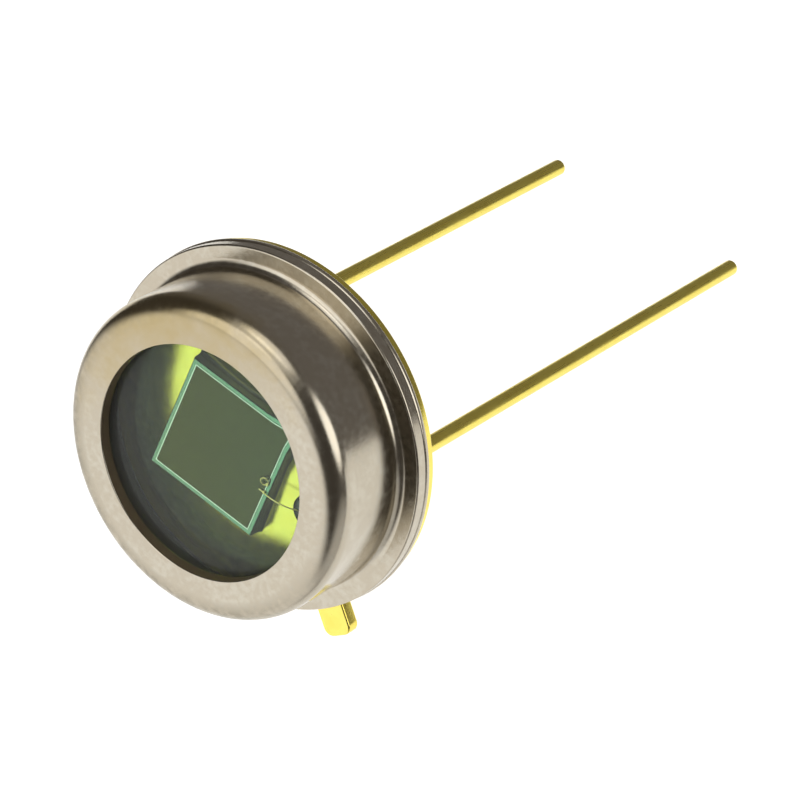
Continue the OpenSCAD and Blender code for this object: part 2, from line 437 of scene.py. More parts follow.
# The header's side in the gap within the cap is gold under this dark skin, which is partly weld soot and
# partly painted shade.
GAP_SOOT_AND_SHADE = OxideAndShadeSkin("header_side_soot_and_painted_shade")
# Gold sealed behind the glass stays a clear yellow with little grain, on a drawn lead the grain runs
# along it, and the bare gold of the bond wire is paler.
HEADER_GOLD = GoldPlate("gold_plate_header")
INSIDE_GOLD = GoldPlate("gold_plate_sealed", colour="#FFF67C", deep="#FDF070", rough=0.2, grain_mm=0.15,
                        grain_depth=0.0005)
LEAD_GOLD = GoldPlate("gold_plate_drawn_lead", rough=0.3, draw_ratio=0.05)
WIRE_GOLD = GoldPlate("fine_gold_wire", colour="#FFF2B4", deep="#FBE796", rough=0.3)
GLASS = FilterGlass()
SEAL = SolderGlass("solder_glass_brown", "#2A2119", "#43382C", 0.3)
BEAD = SolderGlass("bead_glass_dark", "#1B2124", "#2C353A", 0.5)
SOLDER = Solder()
# The active area is a dark olive mirror, the oxide round it pale green, and the sawn edge dull grey.
# The aluminium line is a thin film on the die too: a pale mirror.
ACTIVE = CoatedSilicon("silicon_active_area", "#44451F", "#42482E", 0.06)
BORDER = CoatedSilicon("silicon_oxide_border", "#7B9A86", "#75A48E", 0.08)
SAWN = CoatedSilicon("silicon_sawn_edge", "#3A3D3E", "#4B4E50", 0.4, 0.08)
CONTACT = CoatedSilicon("aluminium_contact", "#E4F2EC", "#D8EAE6", 0.12, 0.2)


def rounded_path(corners: list[Triple], closed: bool = True, steps: int = 10) -> list[Point]:
    """Rounds the corners of a section, with a close point beside each arc so that flats stay flat.

    Args:
        corners: radius from the axis, height, and rounding of each corner.
        closed: whether the section runs back to its first corner.
        steps: segments of each arc.
    Returns:
        The section's points in order.
    """
    points: list[Point] = []
    count = len(corners)
    for i, (r, z, rounding) in enumerate(corners):
        here = Vector((r, z))
        if rounding <= 0 or (not closed and i in (0, count - 1)):
            points.append((r, z))
            continue
        back = Vector(corners[i - 1][:2]) - here
        ahead = Vector(corners[(i + 1) % count][:2]) - here
        room = (back.length, ahead.length)
        back.normalize()
        ahead.normalize()
        half = back.angle(ahead) / 2
        reach = rounding / math.tan(half)
        centre = here + (back + ahead).normalized() * rounding / math.sin(half)
        start, stop = here + back * reach, here + ahead * reach
        turn = (start - centre).angle_signed(stop - centre)
        if room[0] > reach + 2 * SUPPORT:
            points.append(tuple(start + back * SUPPORT))
        for k in range(steps + 1):
            points.append(tuple(centre + Matrix.Rotation(-turn * k / steps, 2) @ (start - centre)))
        if room[1] > reach + 2 * SUPPORT:
            points.append(tuple(stop + ahead * SUPPORT))
    return points


def circle(centre: Point, r: float, count: int) -> list[Point]:
    """Gives a circle's points, counter-clockwise from +X."""
    angles = [2 * math.pi * k / count for k in range(count)]
    return [(centre[0] + r * math.cos(a), centre[1] + r * math.sin(a)) for a in angles]


def add_ring(mesh: bmesh.types.BMesh, points: list[Point], z: float) -> list[bmesh.types.BMVert]:
    """Adds a ring of points at one height."""
    return [mesh.verts.new((*p, z)) for p in points]


def turn_section(mesh: bmesh.types.BMesh, section: list[Point], segments: int, closed: bool = True,
                 centre: Point = (0.0, 0.0)) -> list[bmesh.types.BMFace]:
    """Turns a section about an upright axis.

    Args:
        mesh: the mesh that takes the faces.
        section: radius and height of each point.
        segments: steps round the axis.
        closed: whether the section's last point joins its first.
        centre: where the axis stands.
    Returns:
        The new faces.
    """
    rings = []
    for r, z in section:
        rings.append(add_ring(mesh, circle(centre, r, segments) if r > 0 else [centre], z))
    faces = []
    pairs = list(zip(rings, rings[1:])) + ([(rings[-1], rings[0])] if closed else [])
    for low, high in pairs:
        for k in range(segments):
            n = (k + 1) % segments
            ring = [low[k % len(low)], low[n % len(low)], high[n % len(high)], high[k % len(high)]]
            corners = list(dict.fromkeys(ring))
            if len(corners) > 2:
                faces.append(mesh.faces.new(corners))
    return faces


def make_piece(mesh: bmesh.types.BMesh, name: str, materials: list[bpy.types.Material],
               sharp: float = 32.0, outward: bool = True) -> bpy.types.Object:
    """Turns a mesh in millimetres to a finished object in metres.

    Args:
        mesh: the mesh, which is freed.
        name: the piece's name.
        materials: the piece's material slots.
        sharp: edges that bend by more degrees than this stay sharp.
        outward: whether the faces are turned outwards here.
    Returns:
        The object, linked to the scene.
    """
    bmesh.ops.remove_doubles(mesh, verts=mesh.verts, dist=MERGE)
    if outward:
        bmesh.ops.recalc_face_normals(mesh, faces=mesh.faces)
    data = bpy.data.meshes.new(name)
    mesh.to_mesh(data)
    mesh.free()
    data.transform(Matrix.Scale(MM, 4))
    for material in materials:
        data.materials.append(material)
    data.shade_smooth()
    data.set_sharp_from_angle(angle=math.radians(sharp))
    piece = bpy.data.objects.new(name, data)
    bpy.context.scene.collection.objects.link(piece)
    return piece


def stand_for(piece: bpy.types.Object, node: str) -> None:
    """Makes a piece ride on the part in place of a node.

    Args:
        piece: the finished piece.
        node: the solid that it stands for.
    """
    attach(piece, BODY)
    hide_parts(node)
    log.info("%s: %d faces, stands for %s", piece.name, len(piece.data.polygons), node)


@dataclass
class Cap:
    """Drawn metal cap: front with a round opening, shoulder, straight wall, foot and flange."""

    outer_r: float = 4.08
    inner_r: float = 3.78
    front: float = 3.02
    sheet: float = 0.3
    opening_r: float = 2.95
    opening_round: float = 0.025
    shoulder_r: float = 0.5
    foot_r: float = 0.2
    flange_r: float = 4.62
    flange_bottom: float = 0.36
    flange_top: float = 0.66
    rim_round: float = 0.05
    weld_at: Point = (4.595, 0.3)
    weld_r: Point = (0.055, 0.085)
    segments: int = 320

    def weld_bead(self) -> list[Triple]:
        """Gives the low bead that the weld pressed out between the cap's flange and the header's.

        Returns:
            The bead's section, from the flange's side down to the header's side.
        """
        (x, z), (out, up) = self.weld_at, self.weld_r
        start = math.acos((self.flange_r - x) / out)
        steps = 16
        bead = []
        for k in range(steps + 1):
            a = start - (start + math.pi / 2) * k / steps
            bead.append((x + out * math.cos(a), z + up * math.sin(a), 0.0))
        return bead

    def build(self) -> bpy.types.Object:
        """Turns the cap's section.

        Returns:
            The cap.
        """
        under = self.front - self.sheet
        corners = [
            (self.opening_r, self.front, self.opening_round),
            (self.outer_r, self.front, self.shoulder_r),
            (self.outer_r, self.flange_top, self.foot_r),
            (self.flange_r, self.flange_top, self.rim_round),
            *self.weld_bead(),
            (self.weld_at[0], self.flange_bottom, 0.0),
            (self.inner_r, self.flange_bottom, self.foot_r + self.sheet),
            (self.inner_r, under, self.shoulder_r - self.sheet),
            (self.opening_r, under, 0.0),
        ]
        mesh = bmesh.new()
        for face in turn_section(mesh, rounded_path(corners, steps=14), self.segments):
            middle = face.calc_center_median()
            r = math.hypot(middle.x, middle.y)
            below = middle.z < under + SAME_HEIGHT and r < self.inner_r + SAME_RADIUS
            flared = middle.z < self.flange_top and r < self.inner_r + self.foot_r + self.sheet
            cut = r < self.opening_r + SAME_RADIUS
            if below or flared or cut:
                face.material_index = Zone.INSIDE.value
        return make_piece(mesh, "cap_shell", [NICKEL.material(), CAP_INSIDE.material()])

    def dress(self) -> None:
        """Builds the cap and puts it in its node's place."""
        stand_for(self.build(), "cap")


@dataclass
class Window:
    """Filter-glass pane clamped behind the front, and the solder-glass ring that holds it."""

    pane_r: float = 3.48
    front: float = 2.72
    thickness: float = 0.7
    opening_r: float = 2.95
    rise: float = 0.02
    edge: float = 0.45
    seal_r: float = 3.78
    seal_round: float = 0.2
    seal_creep: float = 0.18
    relief: float = 0.004
    edge_break: float = 0.02
    segments: int = 256

    def build_pane(self) -> bpy.types.Object:
        """Turns the pane, whose front swells into the opening and falls away at its edge.

        Returns:
            The pane.
        """
        back = self.front - self.thickness
        shelf = self.front - self.relief
        bend_r = (self.edge ** 2 + self.rise ** 2) / (2 * self.rise)
        top = self.front + self.rise
        section = [(0.0, back), (self.pane_r - self.edge_break, back),
                   (self.pane_r, back + self.edge_break), (self.pane_r, shelf),
                   (self.opening_r - self.relief, shelf)]
        flat_r = self.opening_r - self.edge
        steps = 40
        for k in range(steps + 1):
            out = (self.edge - self.relief) * (1 - k / steps)
            section.append((flat_r + out, top - bend_r + math.sqrt(bend_r ** 2 - out ** 2)))
        section += [(flat_r - self.edge_break, top), (0.0, top)]
        mesh = bmesh.new()
        turn_section(mesh, section, self.segments, closed=False)
        return make_piece(mesh, "window_pane", [GLASS.material()], sharp=40.0)

    def build_seal(self) -> bpy.types.Object:
        """Turns the ring of solder glass, with a hollow fillet on the cap's wall below the pane.

        Returns:
            The ring.
        """
        back = self.front - self.thickness
        inner = self.pane_r + self.relief
        outer = self.seal_r - self.relief
        corners = [(inner, back, 0.0), (inner, self.front - self.relief, 0.0),
                   (outer, self.front - self.relief, self.seal_round)]
        section = rounded_path(corners + [(outer, back - self.seal_creep, 0.0)], closed=False)
        steps = 10
        for k in range(1, steps + 1):
            a = math.pi / 2 * k / steps
            section.append((outer - self.seal_creep * (1 - math.cos(a)),
                            back - self.seal_creep * (1 - math.sin(a))))
        mesh = bmesh.new()
        turn_section(mesh, section, self.segments)
        return make_piece(mesh, "window_seal_ring", [SEAL.material()])

    def dress(self) -> None:
        """Builds the pane and its ring and puts them in their nodes' places."""
        stand_for(self.build_pane(), "window")
        stand_for(self.build_seal(), "window_seal")


@dataclass
class Header:
    """Gold-plated base: flange with a locating tab, raised platform, bead hole and lead socket."""

    flange_r: float = 4.59
    flange_t: float = 0.36
    edge_round: float = 0.05
    platform_r: float = 3.63
    platform_top: float = 1.3
    platform_round: float = 0.12
    tab_w: float = 0.82
    tab_l: float = 0.84
    tab_round: float = 0.24
    tab_angle: float = 141.0
    lead_x: float = 2.54
    bead_r: float = 0.55
    bead_recess: float = 0.04
    bead_relief: float = 0.002
    bare_lead_r: float = 0.205
    socket_r: float = 0.23
    socket_depth: float = 0.25
    segments: int = 320
    hole_segments: int = 96
    socket_segments: int = 48

    def outline(self) -> list[Point]:
        """Gives the flange's outline with its tab.

        Returns:
            The outline's points, counter-clockwise.
        """
        half = self.tab_w / 2
        gap = math.asin(half / self.flange_r)
        reach = self.flange_r + self.tab_l
        points = []
        for k in range(self.segments + 1):
            a = gap + (2 * math.pi - 2 * gap) * k / self.segments
            points.append((self.flange_r * math.cos(a), self.flange_r * math.sin(a)))
        root = self.flange_r * math.cos(gap)
        bend_x, bend_y = reach - self.tab_round, half - self.tab_round
        steps = 12
        for side in (-1, 1):
            edge = [(root + (bend_x - root) * share, side * half) for share in (0.3, 0.7, 0.97)]
            for k in range(steps + 1):
                a = math.pi / 2 * k / steps
                edge.append((bend_x + self.tab_round * math.sin(a),
                             side * (bend_y + self.tab_round * math.cos(a))))
            points += edge if side < 0 else edge[::-1]
        spin = Matrix.Rotation(math.radians(self.tab_angle), 2)
        return [tuple(spin @ Vector(p)) for p in points]

    @staticmethod
    def inset(outline: list[Point], by: float) -> list[Point]:
        """Moves an outline inwards.

        Args:
            outline: counter-clockwise points.
            by: how far each side moves.
        Returns:
            The moved points.
        """
        moved = []
        for i, p in enumerate(outline):
            here = Vector(p)
            before = (here - Vector(outline[i - 1])).normalized()
            after = (Vector(outline[(i + 1) % len(outline)]) - here).normalized()
            normal = Vector((-before.y - after.y, before.x + after.x)).normalized()
            lean = max(0.5, normal.dot(Vector((-before.y, before.x))))
            moved.append(tuple(here + normal * by / lean))
        return moved

    @staticmethod
    def bridge(mesh: bmesh.types.BMesh, *rings: list[bmesh.types.BMVert]) -> None:
        """Joins rings of the same count, each to the next, with four-sided faces.

        Args:
            mesh: the mesh that takes the faces.
            rings: the rings in order.
        """
        for low, high in zip(rings, rings[1:]):
            for i in range(len(low)):
                n = (i + 1) % len(low)
                mesh.faces.new((low[i], low[n], high[n], high[i]))

    @staticmethod
    def fill(mesh: bmesh.types.BMesh, *rings: list[bmesh.types.BMVert]) -> None:
        """Fills a flat face between an outer ring and the holes in it.

        Args:
            mesh: the mesh that takes the faces.
            rings: the outer ring, then the holes.
        """
        edges = []
        for ring in rings:
            for i, v in enumerate(ring):
                pair = (v, ring[(i + 1) % len(ring)])
                edges.append(mesh.edges.get(pair) or mesh.edges.new(pair))
        bmesh.ops.triangle_fill(mesh, edges=edges, use_beauty=True)

    def build_base(self) -> bpy.types.Object:
        """Builds the flange with its tab, the platform, the bead hole and the lead socket.

        Returns:
            The base.
        """
        mesh = bmesh.new()
        rim = self.outline()
        e = self.edge_round
        steps = 6
        angles = [math.pi / 2 * k / steps for k in range(steps + 1)]
        levels = [(e + SUPPORT, 0.0)]
        levels += [(e - e * math.sin(a), e - e * math.cos(a)) for a in angles]
        levels += [(e - e * math.cos(a), self.flange_t - e + e * math.sin(a)) for a in angles]
        levels.append((e + SUPPORT, self.flange_t))
        flange = [add_ring(mesh, self.inset(rim, by), z) for by, z in levels]
        self.bridge(mesh, *flange)
        hole = circle((-self.lead_x, 0.0), self.bead_r, self.hole_segments)
        bead = [add_ring(mesh, hole, z) for z in (0.0, self.platform_top)]
        self.bridge(mesh, *bead)
        well = circle((self.lead_x, 0.0), self.socket_r, self.socket_segments)
        socket = [add_ring(mesh, well, z) for z in (0.0, self.socket_depth)]
        self.bridge(mesh, *socket)
        self.fill(mesh, socket[1])
        self.fill(mesh, flange[0], bead[0], socket[0])
        corners = [(self.platform_r, self.flange_t, 0.0),
                   (self.platform_r, self.platform_top, self.platform_round), (0.0, self.platform_top, 0.0)]
        side = rounded_path(corners, closed=False)[:-1]
        walls = [add_ring(mesh, circle((0.0, 0.0), r, self.segments), z) for r, z in side]
        self.bridge(mesh, *walls)
        self.fill(mesh, flange[-1], walls[0])
        self.fill(mesh, walls[-1], bead[1])
        for face in mesh.faces:
            middle = face.calc_center_median()
            outside = math.hypot(middle.x, middle.y) > self.platform_r - self.platform_round
            if middle.z > self.platform_top - SAME_HEIGHT:
                face.material_index = Zone.INSIDE.value
            elif outside and middle.z > self.flange_t + SAME_HEIGHT:
                # The platform's side faces the narrow gap within the cap, where its gold gets a dark skin:
                # partly weld soot, partly painted shade.
                face.material_index = Zone.BORDER.value
        finishes = [HEADER_GOLD.material(), INSIDE_GOLD.material(), GAP_SOOT_AND_SHADE.material()]
        return make_piece(mesh, "header_base", finishes)

    def build_bead(self) -> bpy.types.Object:
        """Turns the glass bead, whose ends dish between the lead and the hole's edge.

        Returns:
            The bead.
        """
        inner, outer = self.bare_lead_r + self.bead_relief, self.bead_r - self.bead_relief
        low, high = self.bead_recess, self.platform_top - self.bead_recess
        creep, dish = self.bead_recess * 0.8, self.bead_recess * 0.9
        steps = 16
        section = []
        for end, way in ((low, 1), (high, -1)):
            rim = []
            for k in range(steps + 1):
                t = k / steps
                sunk = dish * (1 - (2 * t - 1) ** 6)
                rim.append((inner + (outer - inner) * t, end - way * creep + way * sunk))
            section += rim if way > 0 else rim[::-1]
        mesh = bmesh.new()
        turn_section(mesh, section, self.hole_segments, centre=(-self.lead_x, 0.0))
        return make_piece(mesh, "feedthrough_bead", [BEAD.material()])

    def dress(self) -> None:
        """Builds the base and its bead and puts them in their nodes' places."""
        stand_for(self.build_base(), "header")
        stand_for(self.build_bead(), "glass_bead")


@dataclass
class Leads:
    """Two straight gold-plated wire leads with rounded cut ends; the anode's has a flat head."""

    pitch: float = 5.08
    lead_r: float = 0.21
    bare_r: float = 0.205
    anode_l: float = 17.16
    cathode_l: float = 15.42
    tip_round: float = 0.06
    bead_recess: float = 0.04
    head_r: float = 0.31
    head_t: float = 0.1
    head_top: float = 1.4
    socket_depth: float = 0.25
    segments: int = 96

    def build_anode(self) -> bpy.types.Object:
        """Turns the anode lead.

        Returns:
            The lead.
        """
        nip = self.head_t / 3
        under = self.head_top - self.head_t
        corners = [(0.0, -self.anode_l, 0.0), (self.lead_r, -self.anode_l, self.tip_round),
                   (self.lead_r, self.bead_recess, 0.0), (self.bare_r, self.bead_recess, 0.0),
                   (self.bare_r, under, 0.0), (self.head_r, under, nip),
                   (self.head_r, self.head_top, nip), (0.0, self.head_top, 0.0)]
        return self.turn(corners, -self.pitch / 2, "anode_pin")

    def build_cathode(self) -> bpy.types.Object:
        """Turns the cathode lead.

        Returns:
            The lead.
        """
        corners = [(0.0, -self.cathode_l, 0.0), (self.lead_r, -self.cathode_l, self.tip_round),
                   (self.lead_r, 0.0, 0.0), (self.bare_r, 0.0, 0.0),
                   (self.bare_r, self.socket_depth, 0.0), (0.0, self.socket_depth, 0.0)]
        return self.turn(corners, self.pitch / 2, "cathode_pin")

    def turn(self, corners: list[Triple], x: float, name: str) -> bpy.types.Object:
        """Turns a lead's section about its own axis.

        Args:
            corners: radius, height and rounding of each corner.
            x: where the lead's axis stands.
            name: the piece's name.
        Returns:
            The lead.
        """
        mesh = bmesh.new()
        section = rounded_path(corners, closed=False, steps=8)
        turn_section(mesh, section, self.segments, closed=False, centre=(x, 0.0))
        return make_piece(mesh, name, [LEAD_GOLD.material()])

    def dress(self) -> None:
        """Builds both leads and puts them in their nodes' places."""
        stand_for(self.build_anode(), "anode_lead")
        stand_for(self.build_cathode(), "cathode_lead")


# Where the middle of the chip's underside lies, and how the chip leans and turns there.
CHIP_AT = Vector((0.09, 0.02, 1.482))
CHIP_TILT = Euler([math.radians(degrees) for degrees in (4.3, -1.6, 5.7)]).to_matrix()


def on_chip(x: float, y: float, z: float) -> Vector:
    """Takes a point, measured from the middle of the chip's underside, to its place on the tilted chip."""
    return CHIP_AT + CHIP_TILT @ Vector((x, y, z))


@dataclass
class Chip:
    """Square silicon die, tilted on its solder, with an oxide border and a thin metal frame line."""

    side: float = 3.15
    thickness: float = 0.2
    edge: float = 0.025
    margin: float = 0.11
    line: float = 0.032
    line_t: float = 0.01
    platform: float = 1.3
    solder_spread: float = 0.04
    relief: float = 0.001

    @staticmethod
    def square(half: float, z: float) -> list[Vector]:
        """Gives the corners of a square of the chip at a height over its underside."""
        return [on_chip(half * x, half * y, z) for x, y in ((-1, -1), (1, -1), (1, 1), (-1, 1))]

    @staticmethod
    def stack(rings: list[tuple[list[Vector], Zone]], name: str, materials: list[bpy.types.Material],
              cap_zone: Zone) -> bpy.types.Object:
        """Builds a square solid from squares one above or inside the other.

        Args:
            rings: corners of each square, and the zone of the band that leads up to it.
            name: the piece's name.
            materials: its slots, in the order of the zones.
            cap_zone: the zone of the last square's face.
        Returns:
            The piece.
        """
        mesh = bmesh.new()
        squares = [[mesh.verts.new(p) for p in corners] for corners, _ in rings]
        mesh.faces.new(squares[0][::-1])
        for (low, high, (_, zone)) in zip(squares, squares[1:], rings[1:]):
            for i in range(4):
                face = mesh.faces.new((low[i], low[(i + 1) % 4], high[(i + 1) % 4], high[i]))
                face.material_index = zone.value
        mesh.faces.new(squares[-1]).material_index = cap_zone.value
        return make_piece(mesh, name, materials, sharp=20.0)

    def build_die(self) -> bpy.types.Object:
        """Builds the die with a fine sawn edge, its border and its active area.

        Returns:
            The die.
        """
        half, top = self.side / 2, self.thickness
        inner = half - self.margin - self.line / 2
        rings = [(self.square(half, 0.0), Zone.INSIDE),
                 (self.square(half, top - self.edge), Zone.INSIDE),
                 (self.square(half - self.edge, top), Zone.INSIDE),
                 (self.square(inner, top), Zone.BORDER)]
        materials = [ACTIVE.material(), SAWN.material(), BORDER.material()]
        return self.stack(rings, "silicon_die", materials, Zone.MAIN)

    def build_frame(self) -> bpy.types.Object:
        """Builds the frame line as a low square ring.

        Returns:
            The frame line.
        """
        outer = self.side / 2 - self.margin
        inner = outer - self.line
        base, top = self.thickness, self.thickness + self.line_t
        lean = self.line_t / 2
        mesh = bmesh.new()
        rings = [[mesh.verts.new(p) for p in self.square(half, z)] for half, z in
                 ((outer, base), (outer - lean, top), (inner + lean, top), (inner, base))]
        for low, high in zip(rings, rings[1:] + rings[:1]):
            for i in range(4):
                mesh.faces.new((low[i], low[(i + 1) % 4], high[(i + 1) % 4], high[i]))
        return make_piece(mesh, "contact_frame_line", [CONTACT.material()], sharp=20.0)

    def build_solder(self) -> bpy.types.Object:
        """Builds the wedge of solder under the die, with a hollow edge where it wetted out.

        Returns:
            The solder.
        """
        half = self.side / 2
        top = self.square(half, -self.relief)
        rings = []
        for share, level in ((1.0, 0.0), (0.4, 0.3), (0.1, 0.7)):
            ring = self.square(half + self.solder_spread * share, 0.0)
            for corner, over in zip(ring, top):
                corner.z = self.platform + (over.z - self.platform) * level
            rings.append((ring, Zone.MAIN))
        rings.append((top, Zone.MAIN))
        return self.stack(rings, "die_solder_layer", [SOLDER.material()], Zone.MAIN)

    def dress(self) -> None:
        """Builds the die, its frame line and its solder and puts them in their nodes' places."""
        stand_for(self.build_solder(), "die_attach")
        stand_for(self.build_die(), "chip")
        stand_for(self.build_frame(), "contact_frame")


@dataclass
class BondWire:
    """Fine gold wire in an arch from the frame line to the anode's head, with its tail and a curl."""

    wire_d: float = 0.035
    rise: float = 0.12
    bond_y: float = 0.29
    curl_pitch: float = 0.23
    curl_r: float = 0.1
    curl_heading: float = -37.0
    curl_lift: float = 15.0
    curl_sweep: float = 342.0
    foot_d: float = 0.09
    foot_t: float = 0.04
    tail_l: float = 0.14
    frame_x: float = -1.445
    frame_face: float = 0.21
    pin_x: float = -2.54
    head_top: float = 1.4
    head_r: float = 0.31
    head_round: float = 0.1 / 3

    def ends(self) -> tuple[Vector, Vector, Vector]:
        """Finds where the wire's pressed feet sit.

        Returns:
            Its bond on the frame line, its bond on the lead's head, and the curl's foot.
        """
        height = self.frame_face + self.foot_t / 2
        bond = on_chip(self.frame_x, self.bond_y, height)
        foot = on_chip(self.frame_x, self.bond_y - self.curl_pitch, height)
        pin = Vector((self.pin_x, 0.0))
        inward = (bond.to_2d() - pin).normalized() * (self.head_r - self.head_round - self.foot_d)
        return bond, Vector((*(pin + inward), self.head_top + self.foot_t / 2)), foot

    def paths(self) -> list[list[Vector]]:
        """Gives the wire's centre lines.

        Returns:
            The arch with its tail, and the curl.
        """
        start, stop, _ = self.ends()
        span = stop - start
        along = span.to_2d().normalized().to_3d()
        arch = [start - along * self.tail_l, start - along * self.tail_l / 2]
        steps = 32
        for k in range(steps + 1):
            t = k / steps
            arch.append(start + span * t + Vector((0, 0, 4 * self.rise * t * (1 - t))))
        heading, lift = math.radians(self.curl_heading), math.radians(self.curl_lift)
        level = math.cos(lift)
        out = Vector((math.cos(heading) * level, math.sin(heading) * level, math.sin(lift)))
        across = Vector((-math.sin(heading), math.cos(heading), 0))
        foot = Vector((self.frame_x, self.bond_y - self.curl_pitch, self.frame_face + self.foot_t / 2))
        curl = []
        steps = 28
        for k in range(steps + 1):
            a = math.pi + math.radians(self.curl_sweep) * k / steps
            away = out * (1 + math.cos(a)) + across * math.sin(a)
            curl.append(on_chip(*(foot + self.curl_r * away)))
        return [arch, curl]

    @staticmethod
    def tree() -> bpy.types.GeometryNodeTree:
        """Builds the tree that draws wire along edges and sets a pressed foot on each loose point.

        Returns:
            The tree, with inputs for the wire's and the feet's sizes.
        """
        tree = bpy.data.node_groups.new("wire_with_feet", "GeometryNodeTree")
        face = tree.interface
        face.new_socket("Geometry", in_out="INPUT", socket_type="NodeSocketGeometry")
        for name in ("Wire Radius", "Foot Radius", "Foot Thickness"):
            face.new_socket(name, in_out="INPUT", socket_type="NodeSocketFloat")
        face.new_socket("Finish", in_out="INPUT", socket_type="NodeSocketMaterial")
        face.new_socket("Geometry", in_out="OUTPUT", socket_type="NodeSocketGeometry")
        given = add_node(tree, "NodeGroupInput").outputs
        path = add_node(tree, "GeometryNodeMeshToCurve", {"Mesh": given["Geometry"]})
        ring = add_node(tree, "GeometryNodeCurvePrimitiveCircle",
                        {"Resolution": 16, "Radius": given["Wire Radius"]})
        wire = add_node(tree, "GeometryNodeCurveToMesh", {
            "Curve": path.outputs[0], "Profile Curve": ring.outputs[0], "Fill Caps": True})
        joints = add_node(tree, "GeometryNodeInputMeshVertexNeighbors")
        loose = add_node(tree, "FunctionNodeCompare", {2: joints.outputs[0], 3: 0}, data_type="INT",
                         operation="EQUAL")
        spots = add_node(tree, "GeometryNodeMeshToPoints",
                         {"Mesh": given["Geometry"], "Selection": loose.outputs[0]})
        ball = add_node(tree, "GeometryNodeMeshUVSphere", {"Segments": 24, "Rings": 12, "Radius": 1.0})
        half = add_node(tree, "ShaderNodeMath", {0: given["Foot Thickness"], 1: 0.5},
                        operation="MULTIPLY")
        size = add_node(tree, "ShaderNodeCombineXYZ", {0: given["Foot Radius"], 1: given["Foot Radius"],
                                                       2: half.outputs[0]})
        feet = add_node(tree, "GeometryNodeInstanceOnPoints", {
            "Points": spots.outputs[0], "Instance": ball.outputs[0], "Scale": size.outputs[0]})
        both = add_node(tree, "GeometryNodeJoinGeometry")
        tree.links.new(feet.outputs[0], both.inputs[0])
        tree.links.new(wire.outputs[0], both.inputs[0])
        real = add_node(tree, "GeometryNodeRealizeInstances", {0: both.outputs[0]})
        done = add_node(tree, "GeometryNodeSetMaterial",
                        {"Geometry": real.outputs[0], "Material": given["Finish"]})
        add_node(tree, "NodeGroupOutput", {0: done.outputs[0]})
        return tree

    def build(self) -> bpy.types.Object:
        """Draws the wire and its feet with Geometry Nodes and makes them one plain mesh.

        Returns:
            The wire.
        """
        guide = bmesh.new()
        for path in self.paths():
            verts = [guide.verts.new(p) for p in path]
            for a, b in zip(verts, verts[1:]):
                guide.edges.new((a, b))
        for foot in self.ends():
            guide.verts.new(foot)
        data = bpy.data.meshes.new("wire_guide")
        guide.to_mesh(data)
        guide.free()
        holder = bpy.data.objects.new("wire_guide", data)
        bpy.context.scene.collection.objects.link(holder)
        tree = self.tree()
        drawn = holder.modifiers.new("wire", "NODES")
        drawn.node_group = tree
        values = {"Wire Radius": self.wire_d / 2, "Foot Radius": self.foot_d / 2,
                  "Foot Thickness": self.foot_t, "Finish": WIRE_GOLD.material()}
        for item in tree.interface.items_tree:
            if item.in_out == "INPUT" and item.name in values:
                drawn[item.identifier] = values[item.name]
        ready = holder.evaluated_get(bpy.context.evaluated_depsgraph_get())
        result = bpy.data.meshes.new_from_object(ready)
        holder.modifiers.remove(drawn)
        bpy.data.objects.remove(holder)
        result.transform(Matrix.Scale(MM, 4))
        result.shade_smooth()
        piece = bpy.data.objects.new("bond_wire_gold", result)
        bpy.context.scene.collection.objects.link(piece)
        return piece

    def dress(self) -> None:
        """Builds the wire and puts it in its node's place."""
        stand_for(self.build(), "bond_wire")


@dataclass(frozen=True)
class SoftLight:
    """One soft patch of light in the studio.

    It lies in a direction from the part, is even within its core, fades out to its spread, all in
    degrees, and has a strength in which 1 is white.
    """

    name: str
    azimuth: float
    elevation: float
    core: float
    spread: float
    strength: float
    tint: str = "#FFFFFF"

    def direction(self) -> Vector:
        """Gives the unit vector towards the patch."""
        a, e = math.radians(self.azimuth), math.radians(self.elevation)
        return Vector((math.cos(a) * math.cos(e), math.sin(a) * math.cos(e), math.sin(e)))


LIGHTS = (
    SoftLight("back_sweep", 80.0, 22.0, 34.0, 58.0, 1.14),
    SoftLight("back_low", 72.0, -46.0, 3.0, 25.0, 0.48),
    SoftLight("left_sweep", 154.0, 0.0, 14.0, 40.0, 0.6),
    SoftLight("overhead_box", -14.0, 68.0, 17.0, 29.0, 1.45),
    SoftLight("right_box", -74.0, 22.0, 12.0, 25.0, 1.3),
    SoftLight("right_high", -66.0, 44.0, 8.0, 26.0, 0.95),
    SoftLight("left_box", -135.0, 4.0, 14.0, 26.0, 2.1),
    SoftLight("table_front", -80.0, -58.0, 40.0, 80.0, 0.112, "#FEFAFC"),
)


